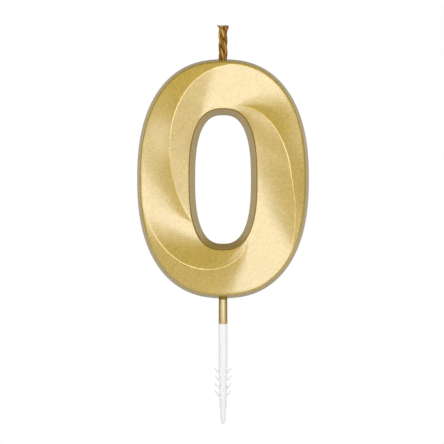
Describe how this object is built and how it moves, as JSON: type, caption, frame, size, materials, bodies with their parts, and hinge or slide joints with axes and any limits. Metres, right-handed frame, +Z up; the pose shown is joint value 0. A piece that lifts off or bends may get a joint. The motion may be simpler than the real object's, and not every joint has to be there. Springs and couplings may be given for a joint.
{
  "type": "number candle",
  "caption": "Numeral zero candle with a spiralling faceted relief and satin gold coat, twisted wick on top and a gold stem that plugs onto a white barbed cake pick.",
  "frame": {"origin": "on the pick's axis, at the plane where the gold stem sits on the white pick's shoulder, which is where the cake's surface comes", "axes": "+Z up along the pick's axis, +X to the right as seen from the front, the numeral's front towards -Y"},
  "size_m": [0.0502, 0.016, 0.1166],
  "materials": {
    "wax": "ivory paraffin wax, hidden under the coat",
    "gold_coat": "satin metallic gold lacquer with a fine flake",
    "wick_cotton": "waxed cotton yarn dyed golden brown",
    "gold_stem": "smooth metallic gold",
    "white_plastic": "moulded white plastic, slightly milky"
  },
  "bodies": {
    "pick": {"pick": "white_plastic"},
    "candle": {"wax_core": "wax", "gold_coat": "gold_coat", "wick_strand_1": "wick_cotton", "wick_strand_2": "wick_cotton", "wick_strand_3": "wick_cotton", "stem": "gold_stem"}
  },
  "joints": [
    {"name": "candle_lift", "type": "slide", "parent": "pick", "child": "candle", "axis": [0, 0, 1], "range_m": [0, 0.016]}
  ]
}
